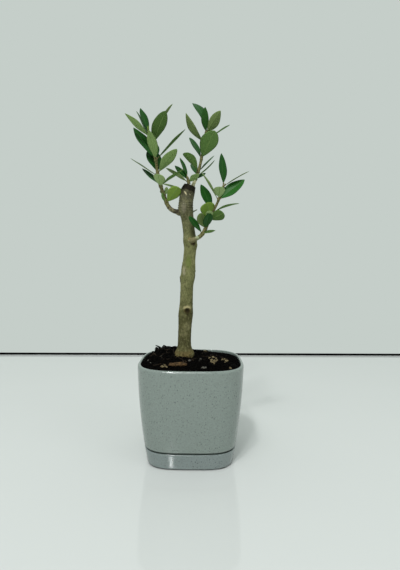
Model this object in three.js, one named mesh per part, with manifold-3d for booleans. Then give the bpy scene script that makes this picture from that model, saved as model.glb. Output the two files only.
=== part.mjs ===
// Potted olive sapling: a rooted olive cutting with leafy shoots, in a rounded-square plastic pot that
// stands in its own drip tray. Millimetres, +Z up, the front is at -Y, and the origin is the middle of
// the tray's flat underside.
import * as THREE from 'three';
import Module from 'manifold-3d';

const { clamp, degToRad, lerp, smoothstep } = THREE.MathUtils;

// Clearance between pieces that touch on the real plant
const GAP = 0.3;

// Pot and tray: one tapered outline from the floor to the lip, parted by a shadow line
const RIM_WIDTH = 90;
const BASE_WIDTH = 73;
const POT_HEIGHT = 82;
const SIDE_SWELL = 1.65;
const RIM_SQUARENESS = 3.4;
const BASE_SQUARENESS = 3.8;
const OUTLINE_POINTS = 48;
const SIDE_RING_HEIGHTS = [26, 40, 54, 68];
const POT_WALL = 2.4;
const POT_FLOOR = 2.4;
const POT_EDGE = 0.4;
const LIP_ROUND = 1.2;
const LIP_STEPS = 5;
const FOOT_WALL = 2;
const TRAY_HEIGHT = 13.5;
const TRAY_WALL = 2.2;
const TRAY_FLOOR = 2;
const TRAY_EDGE = 0.4;
const TRAY_BOTTOM_EDGE = 1.2;
const TRAY_FOOT_HEIGHT = 1;
const TRAY_FOOT_INSET = 6;
const SHADOW_LINE = 1.6;

// Soil: a little below the lip at the walls, mounded to the trunk and heaped at the back left
const GROUND = 84;
const SOIL_AT_WALL = 80.2;
const SOIL_RING_SHARES = [0.92, 0.8, 0.66, 0.52, 0.38, 0.24];
const LEVEL_SHARE = 0.3;
const LEVEL_BLEND = 0.1;
const HEAP_HEIGHT = 2.6;
const HEAP_REACH = 17;
const HEAP_PLACE = new THREE.Vector2(-20, 27);
const CRUMB_HEIGHT = 0.45;
const CRUMB_WAVE = 0.9;

// Trunk: its axis leans and steps sideways below each bough, given as height and place to the right
const TRUNK_DEPTH = 2;
const TRUNK_AXIS = [
  [84.3, -5.8], [100, -6.2], [126, -5.1], [148, -4.4], [171, -2.5], [184, -1.95], [204, -4.5], [215, -6.3],
  [234, -4.1],
];
const TRUNK_RADII = [5.95, 5];
const TRUNK_SIDES = 16;
const TRUNK_RINGS = 36;
// Root flare, bud scars, bough collars and the swollen end
const SWELLINGS = [
  { height: 86, swell: 2.6, reach: 4.4 },
  { height: 121.5, swell: 0.65, reach: 6.5 },
  { height: 153.3, swell: 0.9, reach: 4.2 },
  { height: 161.5, swell: 0.65, reach: 4.3 },
  { height: 185.5, swell: 0.8, reach: 4.5 },
  { height: 213, swell: 1.25, reach: 6.5 },
  { height: 228.5, swell: 1.45, reach: 10 },
];
// A dead twig broken off short on the right
const STUB_FROM = new THREE.Vector3(-4.5, 2, 209);
const STUB_TO = new THREE.Vector3(3.9, 1, 213);
const STUB_RADIUS = 0.6;

// Limbs: faces round them and the distance between their rings
const BOUGH_SIDES = 10;
const STEM_SIDES = 8;
const LIMB_STEP = 2.5;

// Leaves: width, arch, cupping and stalk as shares of the length, with the seeded spread of the first two,
// and how blunt the usual leaf is
const LEAF_WIDE = 0.34;
const LEAF_WIDE_SPREAD = 0.02;
const LEAF_BOW = 0.01;
const LEAF_BOW_SPREAD = 0.015;
const LEAF_BLUNT = 0.2;
const LEAF_CUP = 0.14;
const LEAF_STALK = 0.09;
const LEAF_THICK = 0.6;
const STALK_RADIUS = 0.55;
const TIP_RADIUS = 0.15;
// Powers of the blade's outline in a pointed and in a blunt leaf: how far out it is fullest, and how full
const BLADE_OUTWARD = [0.9, 1.5];
const BLADE_FULLNESS = [0.86, 0.5];
const LEAF_STATIONS = [0, LEAF_STALK, 0.2, 0.34, 0.52, 0.7, 0.86, 1];

// Shoots: the path of each stem from inside the trunk to its tip, its radius at both ends, how far along
// it the bare bough reaches, and the leaves, which stand in pairs. at is a pair's distance along the stem,
// turn a leaf's compass direction (0 right, 90 front, 180 left, 270 back), open its angle from the stem,
// long its length (0 where the leaf has dropped), wide its width and bow its arch as shares of the length,
// roll its twist, and blunt how round its tip is, up to 1. Where wide, bow or blunt isn't given the leaf
// takes the usual one, the first two by the seeded rule.
const SHOOTS = {
  left: {
    seed: 100,
    path: [
      [-5.6, 2, 209.5], [-19.2, 1, 213.2], [-25.4, -1, 225.5], [-30, -3, 241], [-32.4, -4, 256],
      [-38.4, -5, 278],
    ],
    radius: [2.5, 1],
    bough: 17,
    pairs: [
      { at: 20.8, turn: [25, 95], open: [65, 20], long: [18.6, 10], wide: [0.6, 0.55], roll: [55, -55],
        blunt: [1, 0.5] },
      { at: 27.3, turn: [30, 260], open: [50, 40], long: [8.2, 8], wide: [0.65, 0.45], roll: [105, 0],
        blunt: [1, 0.5] },
      { at: 35.3, turn: [85, 255], open: [55, 30], long: [15.7, 15], wide: [0.66, 0.34], roll: [30, 0],
        blunt: [1, 0.2] },
      { at: 36.3, turn: [20, 205], open: [75, 35], long: [26, 23], wide: [0.3, 0.3], roll: [5, 15] },
      { at: 38.3, turn: [10, 0], open: [120, 0], long: [20, 0], wide: [0.22, 0], roll: [25, 0] },
      { at: 44.3, turn: [185, 0], open: [45, 0], long: [28.5, 0], wide: [0.2, 0], roll: [5, 0] },
      { at: 46.5, turn: [35, 255], open: [60, 25], long: [28.6, 25.3], wide: [0.36, 0.56], roll: [25, -15],
        blunt: [0.4, 0.7] },
      { at: 57.5, turn: [90, 270], open: [42, 40], long: [27.5, 26], wide: [0.35, 0.34], roll: [30, 0] },
      { at: 58, turn: [0, 195], open: [55, 25], long: [36.5, 34.5], wide: [0.2, 0.36], roll: [5, 30] },
      { at: 70.8, turn: [50, 195], open: [60, 10], long: [33, 32], wide: [0.37, 0.32], roll: [15, 0],
        blunt: [0.6, 0.2] },
      { at: 77.3, turn: [0, 145], open: [50, 40], long: [34.2, 27.5], wide: [0.32, 0.3], roll: [0, 0] },
      { at: 81.3, turn: [255, 60], open: [15, 20], long: [25, 6], wide: [0.32, 0.34], roll: [-30, 0] },
    ],
  },
  top: {
    seed: 200,
    path: [[-2.4, 2, 227], [0.2, 2, 234.5], [4.6, 1, 246], [7.6, 0, 259], [9.5, 0, 272], [11.6, 0, 281.5]],
    radius: [1.8, 1],
    bough: 12,
    pairs: [
      { at: 13.5, turn: [325, 0], open: [40, 0], long: [11.5, 0], wide: [0.42, 0], roll: [-15, 0] },
      { at: 16.5, turn: [15, 235], open: [30, 60], long: [20.4, 20], wide: [0.2, 0.34], bow: [-0.06, 0.05],
        roll: [-5, 20] },
      { at: 20, turn: [130, 325], open: [70, 30], long: [24.4, 21.8], wide: [0.36, 0.2], bow: [0.1, 0],
        roll: [-25, 5], blunt: [1, 0.2] },
      { at: 31, turn: [70, 220], open: [45, 45], long: [28.9, 27], wide: [0.52, 0.32], roll: [5, 10],
        blunt: [0.6, 0.7] },
      { at: 46, turn: [135, 345], open: [60, 45], long: [29.4, 28.8], wide: [0.28, 0.32], bow: [-0.13, 0.01],
        roll: [-5, 0] },
      { at: 53.5, turn: [65, 130], open: [55, 25], long: [25, 21], wide: [0.38, 0.36], roll: [45, 170] },
      { at: 55, turn: [210, 20], open: [40, 40], long: [33, 9], wide: [0.34, 0.34], bow: [0.13, 0.05],
        roll: [28, 0], blunt: [0.8, 0.2] },
    ],
  },
  right: {
    seed: 300,
    path: [
      [-4.5, 0, 184], [0.6, -4.2, 186], [6.6, -5.2, 189.1], [10.7, -6.6, 194.5], [16.1, -9.5, 206.9],
      [21.5, -11.5, 218.1], [26, -12, 231],
    ],
    radius: [2.6, 0.8],
    bough: 12.5,
    pairs: [
      { at: 17, turn: [180, 40], open: [75, 45], long: [18.9, 13.7], wide: [0.38, 0.3], roll: [40, 10],
        blunt: [0.8, 0.2] },
      { at: 22, turn: [150, 105], open: [50, 40], long: [15.6, 18.5], wide: [0.55, 0.5], roll: [-95, 125],
        blunt: [0.8, 0.6] },
      { at: 30, turn: [140, 45], open: [35, 50], long: [16.2, 16.6], wide: [0.8, 0.58], roll: [-75, 45],
        blunt: [1, 1] },
      { at: 36.6, turn: [195, 0], open: [50, 45], long: [26, 24], wide: [0.36, 0.26], bow: [0.03, 0.06],
        roll: [45, 20], blunt: [0.4, 0.2] },
      { at: 31, turn: [100, 0], open: [65, 0], long: [16.8, 0], wide: [0.36, 0], roll: [-30, 0],
        blunt: [0.6, 0] },
      { at: 48, turn: [170, 350], open: [55, 30], long: [27.2, 28.4], wide: [0.2, 0.42], roll: [-10, -45] },
      { at: 50, turn: [100, 285], open: [70, 45], long: [18.3, 19.5], wide: [0.52, 0.34], roll: [-20, -10],
        blunt: [1, 0.2] },
      { at: 60.5, turn: [205, 355], open: [25, 40], long: [29.2, 25.3], wide: [0.32, 0.2], roll: [25, 0] },
    ],
  },
  centre: {
    seed: 400,
    path: [[-3.4, 0, 234.7], [-4.1, -0.5, 237.5], [-4.9, -1, 241]],
    radius: [1.6, 0.8],
    bough: 0,
    pairs: [
      { at: 1.5, turn: [175, 35], open: [45, 70], long: [23, 13.6], wide: [0.3, 0.46], roll: [-25, 40] },
      { at: 3.5, turn: [215, 0], open: [35, 0], long: [18.5, 0], wide: [0.36, 0], roll: [20, 0] },
      { at: 5.5, turn: [245, 0], open: [20, 0], long: [20, 0], wide: [0.32, 0], roll: [-30, 0] },
    ],
  },
};

const wasm = await Module();
wasm.setup();

function solidOf(geometry) {
  return new wasm.Manifold(new wasm.Mesh({
    numProp: 3,
    vertProperties: new Float32Array(geometry.attributes.position.array),
    triVerts: new Uint32Array(geometry.index.array),
  }));
}

function geometryOf(solid) {
  const { vertProperties, triVerts } = solid.getMesh();
  const geometry = new THREE.BufferGeometry();
  geometry.setAttribute('position', new THREE.BufferAttribute(new Float32Array(vertProperties), 3));
  geometry.setIndex(new THREE.BufferAttribute(new Uint32Array(triVerts), 1));
  geometry.computeVertexNormals();
  return geometry;
}

function middleOf(ring) {
  return ring.reduce((sum, point) => sum.add(point), new THREE.Vector3()).divideScalar(ring.length);
}

// A closed skin over a row of rings with equal counts of points, with a fan across each end. Each ring
// runs anticlockwise seen from the end of the row.
function loft(rings) {
  const count = rings[0].length;
  const points = rings.flat();
  const faces = [];
  for (let row = 0; row + 1 < rings.length; row += 1) {
    for (let k = 0; k < count; k += 1) {
      const a = row * count + k;
      const b = row * count + (k + 1) % count;
      faces.push(a, b, b + count, a, b + count, a + count);
    }
  }
  const last = points.length - count;
  const start = points.push(middleOf(rings[0])) - 1;
  const end = points.push(middleOf(rings[rings.length - 1])) - 1;
  for (let k = 0; k < count; k += 1) {
    const next = (k + 1) % count;
    faces.push(start, next, k, end, last + k, last + next);
  }
  const geometry = new THREE.BufferGeometry().setFromPoints(points);
  geometry.setIndex(faces);
  geometry.computeVertexNormals();
  return geometry;
}

// A ring of points at equal angles, each placed by a function of its cosine and sine
function ringOf(count, pointAt) {
  return Array.from({ length: count }, (_, k) => {
    const angle = 2 * Math.PI * k / count;
    return pointAt(Math.cos(angle), Math.sin(angle));
  });
}

// Half the width of the pot and tray's common outside at a height
function sideHalf(z) {
  const t = z / POT_HEIGHT;
  return lerp(BASE_WIDTH, RIM_WIDTH, t) / 2 + 4 * SIDE_SWELL * t * (1 - t);
}

// A level rounded square, whose corners open out a little from the base to the rim
function squareRing(half, z) {
  const power = 2 / lerp(BASE_SQUARENESS, RIM_SQUARENESS, z / POT_HEIGHT);
  const bend = (value) => half * Math.sign(value) * Math.abs(value) ** power;
  return ringOf(OUTLINE_POINTS, (cos, sin) => new THREE.Vector3(bend(cos), bend(sin), z));
}

function trayGeometry() {
  const innerHalf = (z) => sideHalf(z) - TRAY_WALL;
  const edgeHeight = TRAY_HEIGHT - TRAY_EDGE;
  const bottomEdge = TRAY_FOOT_HEIGHT + TRAY_BOTTOM_EDGE;
  return loft([
    squareRing(sideHalf(0) - TRAY_FOOT_INSET, 0),
    squareRing(sideHalf(0) - TRAY_FOOT_INSET, TRAY_FOOT_HEIGHT),
    squareRing(sideHalf(bottomEdge) - TRAY_BOTTOM_EDGE, TRAY_FOOT_HEIGHT),
    squareRing(sideHalf(bottomEdge) - TRAY_BOTTOM_EDGE / 3, TRAY_FOOT_HEIGHT + TRAY_BOTTOM_EDGE / 3),
    squareRing(sideHalf(bottomEdge), bottomEdge),
    squareRing(sideHalf(TRAY_HEIGHT / 2), TRAY_HEIGHT / 2),
    squareRing(sideHalf(edgeHeight), edgeHeight),
    squareRing(sideHalf(TRAY_HEIGHT) - TRAY_EDGE, TRAY_HEIGHT),
    squareRing(innerHalf(TRAY_HEIGHT) + TRAY_EDGE, TRAY_HEIGHT),
    squareRing(innerHalf(edgeHeight), edgeHeight),
    squareRing(innerHalf(TRAY_FLOOR), TRAY_FLOOR),
  ]);
}

// The pot's foot stands inside the tray, and its side begins above the shadow line
const footBottom = TRAY_FLOOR + GAP;
const innerFloor = footBottom + POT_FLOOR;
const shoulder = TRAY_HEIGHT + SHADOW_LINE;
const footHalf = (z) => sideHalf(z) - TRAY_WALL - GAP;

// Half the width inside the pot
function insideHalf(z) {
  return z < shoulder + POT_WALL ? footHalf(z) - FOOT_WALL : sideHalf(z) - POT_WALL;
}

function potGeometry() {
  const lipBase = POT_HEIGHT - LIP_ROUND;
  const lipMiddle = sideHalf(lipBase) - POT_WALL / 2;
  const lipRings = Array.from({ length: LIP_STEPS + 1 }, (_, k) => {
    const angle = Math.PI * k / LIP_STEPS;
    return squareRing(lipMiddle + POT_WALL / 2 * Math.cos(angle), lipBase + LIP_ROUND * Math.sin(angle));
  });
  return loft([
    squareRing(footHalf(footBottom) - POT_EDGE, footBottom),
    squareRing(footHalf(footBottom + POT_EDGE), footBottom + POT_EDGE),
    squareRing(footHalf(shoulder), shoulder),
    squareRing(sideHalf(shoulder) - POT_EDGE, shoulder),
    squareRing(sideHalf(shoulder + POT_EDGE), shoulder + POT_EDGE),
    ...SIDE_RING_HEIGHTS.map((z) => squareRing(sideHalf(z), z)),
    ...lipRings,
    ...[...SIDE_RING_HEIGHTS].reverse().map((z) => squareRing(insideHalf(z), z)),
    squareRing(insideHalf(shoulder + POT_WALL), shoulder + POT_WALL),
    squareRing(insideHalf(shoulder), shoulder),
    squareRing(insideHalf(innerFloor), innerFloor),
  ]);
}

const curveThrough = (points) => new THREE.CatmullRomCurve3(points, false, 'catmullrom', 0.5);
const trunkAxis = curveThrough(TRUNK_AXIS.map(([z, x]) => new THREE.Vector3(x, TRUNK_DEPTH, z)));

// Height of the soil, where share is 1 at the pot's wall and 0 at the trunk
function soilHeight(x, y, share) {
  const rise = Math.min(1, (1 - share) / (1 - LEVEL_SHARE));
  const mound = lerp(SOIL_AT_WALL, GROUND, Math.sqrt(rise));
  const away = HEAP_PLACE.distanceTo(new THREE.Vector2(x, y)) / HEAP_REACH;
  const heap = HEAP_HEIGHT * Math.exp(-away * away);
  const crumbs = CRUMB_HEIGHT * Math.sin(CRUMB_WAVE * (x + y / 2)) * Math.sin(CRUMB_WAVE * (x / 2 - y));
  return mound + (heap + crumbs) * smoothstep(share, LEVEL_SHARE, LEVEL_SHARE + LEVEL_BLEND);
}

function soilGeometry() {
  const heights = [innerFloor + GAP, shoulder, shoulder + POT_WALL, ...SIDE_RING_HEIGHTS, SOIL_AT_WALL];
  const wallRings = heights.map((z) => squareRing(insideHalf(z) - GAP, z));
  const foot = trunkAxis.getPoint(0);
  const topRings = SOIL_RING_SHARES.map((share) => wallRings[heights.length - 1].map((rim) => {
    const x = lerp(foot.x, rim.x, share);
    const y = lerp(foot.y, rim.y, share);
    return new THREE.Vector3(x, y, soilHeight(x, y, share));
  }));
  return loft([...wallRings, ...topRings]);
}

// A tapering round limb along a stretch of a curve
function limb(curve, from, to, radii, sides) {
  const length = curve.getLength();
  const steps = Math.max(2, Math.ceil((to - from) / LIMB_STEP));
  const across = new THREE.Vector3(0, 1, 0);
  const rings = [];
  for (let row = 0; row <= steps; row += 1) {
    const share = Math.min(1, lerp(from, to, row / steps) / length);
    const middle = curve.getPointAt(share);
    const along = curve.getTangentAt(share);
    across.addScaledVector(along, -across.dot(along)).normalize();
    const beside = new THREE.Vector3().crossVectors(along, across);
    const radius = lerp(radii[0], radii[1], row / steps);
    rings.push(ringOf(sides, (cos, sin) => middle.clone()
      .addScaledVector(across, radius * cos)
      .addScaledVector(beside, radius * sin)));
  }
  return solidOf(loft(rings));
}

const [[trunkFoot], [trunkTop]] = [TRUNK_AXIS[0], TRUNK_AXIS[TRUNK_AXIS.length - 1]];

function trunkRadius(z) {
  const taper = lerp(...TRUNK_RADII, (z - trunkFoot) / (trunkTop - trunkFoot));
  const bulge = ({ height, swell, reach }) => swell * Math.exp(-(((z - height) / reach) ** 2));
  return SWELLINGS.reduce((sum, swelling) => sum + bulge(swelling), taper);
}

// The trunk from its flat cut on the soil to its sawn top, with room added all round where asked
function trunkSolid(room) {
  const rings = trunkAxis.getSpacedPoints(TRUNK_RINGS).map((middle, row) => {
    const beyond = { 0: -room, [TRUNK_RINGS]: room }[row] ?? 0;
    const radius = trunkRadius(middle.z) + room;
    const offset = (cos, sin) => new THREE.Vector3(radius * cos, radius * sin, beyond);
    return ringOf(TRUNK_SIDES, (cos, sin) => offset(cos, sin).add(middle));
  });
  const stubLine = new THREE.LineCurve3(STUB_FROM, STUB_TO);
  const stubRadii = [STUB_RADIUS + room, STUB_RADIUS + room];
  const stub = limb(stubLine, 0, stubLine.getLength(), stubRadii, STEM_SIDES);
  return solidOf(loft(rings)).add(stub);
}

// A number from -1 to 1 that depends only on the seed
function wobble(seed) {
  const wave = Math.sin(seed * 12.9898) * 43758.5453;
  return 2 * (wave - Math.floor(wave)) - 1;
}

// Width along the blade as a share of its greatest; a blunt leaf is fullest near its tip
function bladeShape(share, blunt) {
  return Math.sin(Math.PI * share ** lerp(...BLADE_OUTWARD, blunt)) ** lerp(...BLADE_FULLNESS, blunt);
}

// One leaf with room added all round: a stalk rooted on the stem's axis and a thin cupped blade, whose
// upper face looks to the stem's tip
function leafSolid(root, along, { turn, open, long, wide, bow, roll, blunt }, room) {
  const out = new THREE.Vector3(Math.cos(degToRad(turn)), -Math.sin(degToRad(turn)), 0);
  out.addScaledVector(along, -out.dot(along)).normalize();
  const axis = along.clone().multiplyScalar(Math.cos(degToRad(open)));
  axis.addScaledVector(out, Math.sin(degToRad(open)));
  const upper = along.clone().addScaledVector(axis, -along.dot(axis)).normalize();
  upper.applyAxisAngle(axis, -degToRad(roll));
  const side = new THREE.Vector3().crossVectors(upper, axis);
  const rings = LEAF_STATIONS.map((share) => {
    const blade = clamp((share - LEAF_STALK) / (1 - LEAF_STALK), 0, 1);
    const least = share < 1 ? STALK_RADIUS : TIP_RADIUS;
    const half = Math.max(long * wide / 2 * bladeShape(blade, blunt), least) + room;
    const thick = (blade === 0 ? STALK_RADIUS : Math.min(LEAF_THICK / 2, least)) + room;
    const lift = blade === 0 ? 0 : LEAF_CUP * half;
    const middle = root.clone()
      .addScaledVector(axis, long * share)
      .addScaledVector(upper, 4 * bow * long * share * (1 - share));
    const point = (aside, above) => middle.clone().addScaledVector(side, aside).addScaledVector(upper, above);
    return [point(half, lift), point(0, thick), point(-half, lift), point(0, -thick)];
  });
  return solidOf(loft(rings));
}

// A shoot's stem beyond its bough, with every leaf that stays clear of what already stands there
function foliageSolid(shoot, standing) {
  const { seed, curve, length, radiusAt, bough, pairs } = shoot;
  const from = bough > 0 ? bough + GAP : 0;
  let mass = limb(curve, from, length, [radiusAt(from), radiusAt(length)], STEM_SIDES);
  pairs.forEach((pair, row) => {
    const root = curve.getPointAt(pair.at / length);
    const along = curve.getTangentAt(pair.at / length);
    [0, 1].filter((side) => pair.long[side] > 0).forEach((side) => {
      const leafSeed = seed + 2 * row + side;
      const leaf = {
        turn: pair.turn[side],
        open: pair.open[side],
        long: pair.long[side],
        wide: pair.wide ? pair.wide[side] : LEAF_WIDE + LEAF_WIDE_SPREAD * wobble(leafSeed),
        bow: pair.bow ? pair.bow[side] : LEAF_BOW + LEAF_BOW_SPREAD * wobble(leafSeed + 0.5),
        roll: pair.roll[side],
        blunt: pair.blunt ? pair.blunt[side] : LEAF_BLUNT,
      };
      const roomy = leafSolid(root, along, leaf, GAP);
      if (standing.every((other) => other.intersect(roomy).isEmpty())) {
        mass = mass.add(leafSolid(root, along, leaf, 0));
      }
    });
  });
  return mass;
}

function shootOf({ seed, path, radius, bough, pairs }) {
  const curve = curveThrough(path.map((point) => new THREE.Vector3(...point)));
  const length = curve.getLength();
  const radiusAt = (distance) => lerp(radius[0], radius[1], Math.sqrt(distance / length));
  return { seed, curve, length, radiusAt, bough, pairs };
}

const plastic = new THREE.MeshStandardMaterial({ color: 0x86938c, roughness: 0.38, metalness: 0 });
const compost = new THREE.MeshStandardMaterial({ color: 0x14110d, roughness: 1, metalness: 0 });
const bark = new THREE.MeshStandardMaterial({ color: 0x6a6a48, roughness: 0.85, metalness: 0 });
const youngBark = new THREE.MeshStandardMaterial({ color: 0x857b52, roughness: 0.8, metalness: 0 });
const leafage = new THREE.MeshStandardMaterial({ color: 0x466232, roughness: 0.45, metalness: 0 });

const sapling = new THREE.Group();
function place(name, geometry, material) {
  const mesh = new THREE.Mesh(geometry, material);
  mesh.name = name;
  sapling.add(mesh);
}

place('drip_tray', trayGeometry(), plastic);
place('pot', potGeometry(), plastic);
place('soil', soilGeometry(), compost);
place('trunk', geometryOf(trunkSolid(0)), bark);

const trunkWithRoom = trunkSolid(GAP);
const standing = [trunkWithRoom];
const shoots = Object.entries(SHOOTS).map(([name, shoot]) => [name, shootOf(shoot)]);
for (const [name, { curve, radiusAt, bough }] of shoots.filter(([, shoot]) => shoot.bough > 0)) {
  const whole = limb(curve, 0, bough, [radiusAt(0), radiusAt(bough)], BOUGH_SIDES);
  const clear = whole.subtract(trunkWithRoom);
  place(`bough_${name}`, geometryOf(clear), youngBark);
  standing.push(clear);
}
for (const [name, shoot] of shoots) {
  const mass = foliageSolid(shoot, standing);
  place(`foliage_${name}`, geometryOf(mass), leafage);
  standing.push(mass);
}

export default sapling;
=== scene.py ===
import math

import bpy
import numpy as np
from mathutils import Euler, Matrix, Vector, noise


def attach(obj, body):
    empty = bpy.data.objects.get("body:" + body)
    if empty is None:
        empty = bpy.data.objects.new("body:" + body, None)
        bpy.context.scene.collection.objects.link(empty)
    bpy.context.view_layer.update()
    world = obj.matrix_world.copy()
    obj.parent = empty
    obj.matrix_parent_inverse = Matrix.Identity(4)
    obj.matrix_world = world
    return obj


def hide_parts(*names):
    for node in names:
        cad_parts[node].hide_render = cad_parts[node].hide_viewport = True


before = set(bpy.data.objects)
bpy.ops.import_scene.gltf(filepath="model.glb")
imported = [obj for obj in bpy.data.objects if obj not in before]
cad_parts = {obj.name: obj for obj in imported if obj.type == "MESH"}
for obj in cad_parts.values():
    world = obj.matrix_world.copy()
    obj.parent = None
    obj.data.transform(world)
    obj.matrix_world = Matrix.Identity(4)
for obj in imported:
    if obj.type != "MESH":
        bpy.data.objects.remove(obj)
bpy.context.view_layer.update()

# Drip tray
# The shallow dish under the pot, injection moulded in glossy speckled polypropylene. It stands loose on
# the table, and the pot's foot drops into it and leaves a dark shadow line all round.
MM = 0.001
RIM_WIDTH = 90
BASE_WIDTH = 73
POT_HEIGHT = 82
SIDE_SWELL = 1.65
RIM_SQUARENESS = 3.4
BASE_SQUARENESS = 3.8
OUTLINE_POINTS = 160
TRAY_HEIGHT = 13.5
TRAY_WALL = 2.2
TRAY_FLOOR = 2
TRAY_EDGE = 0.45
TRAY_BOTTOM_EDGE = 0.3
TRAY_FOOT_HEIGHT = 1.2
TRAY_FOOT_INSET = 6
TRAY_SIDE_HEIGHTS = np.linspace(2.5, TRAY_HEIGHT - 1.5, 7)
EDGE_STEPS = 6
TRAY_FINISH = dict(colour="#6e7977", roughness=0.12, gloss=1.0, grain_depth=0.0001)
CLOUD_SIZE = 1.2
CLOUD_LIGHT = 1.3
SPECK_COLOUR = "#3f4844"
SPECK_SQUEEZE = 0.7
# Each size of speck: its spacing, its strength and its widest reach in a cell
SPECKS = [(1.0, 0.5, 0.38), (1.6, 0.65, 0.3)]
GRAIN_SIZE = 0.35


def side_half(z):
    """Half the width of the pot and tray's common outside at a height."""
    t = z / POT_HEIGHT
    return (BASE_WIDTH + (RIM_WIDTH - BASE_WIDTH) * t) / 2 + 4 * SIDE_SWELL * t * (1 - t)


def angles_round(count):
    """Even angles round a circle."""
    return 2 * math.pi * np.arange(count) / count


def square_ring(half, z):
    """A level rounded square, whose corners open out a little from the base to the rim."""
    power = 2 / (BASE_SQUARENESS + (RIM_SQUARENESS - BASE_SQUARENESS) * z / POT_HEIGHT)
    angle = angles_round(OUTLINE_POINTS)
    across, along = (np.sign(wave) * np.abs(wave) ** power for wave in (np.cos(angle), np.sin(angle)))
    return np.stack([half * across, half * along, np.full(OUTLINE_POINTS, z)], axis=1)


def rounded_edge(half, z, radius, first, last):
    """Rings round a quarter-turn edge whose centre is at half and z, from one angle to another."""
    turns = np.radians(np.linspace(first, last, EDGE_STEPS))
    return [square_ring(half + radius * math.cos(turn), z + radius * math.sin(turn)) for turn in turns]


def loft(rings):
    """Points and faces of a closed skin over a row of equal rings, with a fan across each end."""
    rings = np.asarray(rings, float)
    rows, count = rings.shape[:2]
    points = np.concatenate([rings.reshape(-1, 3), [rings[0].mean(axis=0), rings[-1].mean(axis=0)]])
    here = np.arange(count)
    after = np.roll(here, -1)
    faces = []
    for low in range(0, (rows - 1) * count, count):
        high = low + count
        faces += np.stack([low + here, low + after, high + after, high + here], axis=1).tolist()
    start, end, last = rows * count, rows * count + 1, (rows - 1) * count
    faces += [[start, b, a] for a, b in zip(here.tolist(), after.tolist())]
    faces += [[end, last + a, last + b] for a, b in zip(here.tolist(), after.tolist())]
    return points, faces


def mesh_object(name, points, faces):
    """A new object in the scene, with a mesh from points in millimetres."""
    mesh = bpy.data.meshes.new(name)
    mesh.from_pydata((np.asarray(points) * MM).tolist(), [], faces)
    made = bpy.data.objects.new(name, mesh)
    bpy.context.collection.objects.link(made)
    return made


def make_piece(name, points, faces, materials, slot, nodes=(), face_materials=None, sharp=180):
    """A smooth piece with its materials, riding on the plant's one body."""
    piece = mesh_object(name, points, faces)
    mesh = piece.data
    for material in materials:
        mesh.materials.append(material)
    if face_materials is not None:
        mesh.polygons.foreach_set("material_index", face_materials)
    mesh.shade_smooth()
    mesh.set_sharp_from_angle(angle=math.radians(sharp))
    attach(piece, "root")
    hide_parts(*nodes)


def linear(colour):
    """Linear RGBA of an sRGB hex colour."""
    shares = [int(colour[k:k + 2], 16) / 255 for k in (1, 3, 5)]
    return [s / 12.92 if s <= 0.04045 else ((s + 0.055) / 1.055) ** 2.4 for s in shares] + [1.0]


def add(tree, kind, inputs=None, **settings):
    """Adds a node with its settings. Each input is a value, or another node's output to link."""
    made = tree.nodes.new(kind)
    for name, value in settings.items():
        setattr(made, name, value)
    for name, value in (inputs or {}).items():
        if isinstance(value, bpy.types.NodeSocket):
            tree.links.new(value, made.inputs[name])
        else:
            made.inputs[name].default_value = value
    return made


def new_material(name, inputs):
    """A material with its shader set, and the Object coordinates that its patterns read."""
    material = bpy.data.materials.new(name)
    material.use_nodes = True
    tree = material.node_tree
    tree.nodes.clear()
    shader = add(tree, "ShaderNodeBsdfPrincipled", inputs)
    add(tree, "ShaderNodeOutputMaterial", {"Surface": shader.outputs["BSDF"]})
    return material, tree, shader, add(tree, "ShaderNodeTexCoord").outputs["Object"]


def laid_over(tree, tone, colour, value, low, high, most=1.0, ragged=None):
    """A tone with a colour laid over it: none where the value is low, and its most where it is high.
    ragged is a pattern and how much of it is added to the value."""
    if ragged:
        value = add(tree, "ShaderNodeMath", {
            0: ragged[0], 1: ragged[1], 2: value}, operation="MULTIPLY_ADD").outputs["Value"]
    share = add(tree, "ShaderNodeMapRange", {
        "Value": value, "From Min": low, "From Max": high, "To Max": most})
    return add(tree, "ShaderNodeMix", {
        "Factor": share.outputs["Result"], 6: tone, 7: colour}, data_type="RGBA").outputs[2]


def finish_skin(tree, shader, tone, height, depth, strength=1.0):
    """Gives a skin its tone, and dents so many millimetres deep that follow a pattern."""
    dents = add(tree, "ShaderNodeBump", {"Height": height, "Distance": depth * MM, "Strength": strength})
    tree.links.new(dents.outputs["Normal"], shader.inputs["Normal"])
    tree.links.new(tone, shader.inputs["Base Color"])


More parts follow.
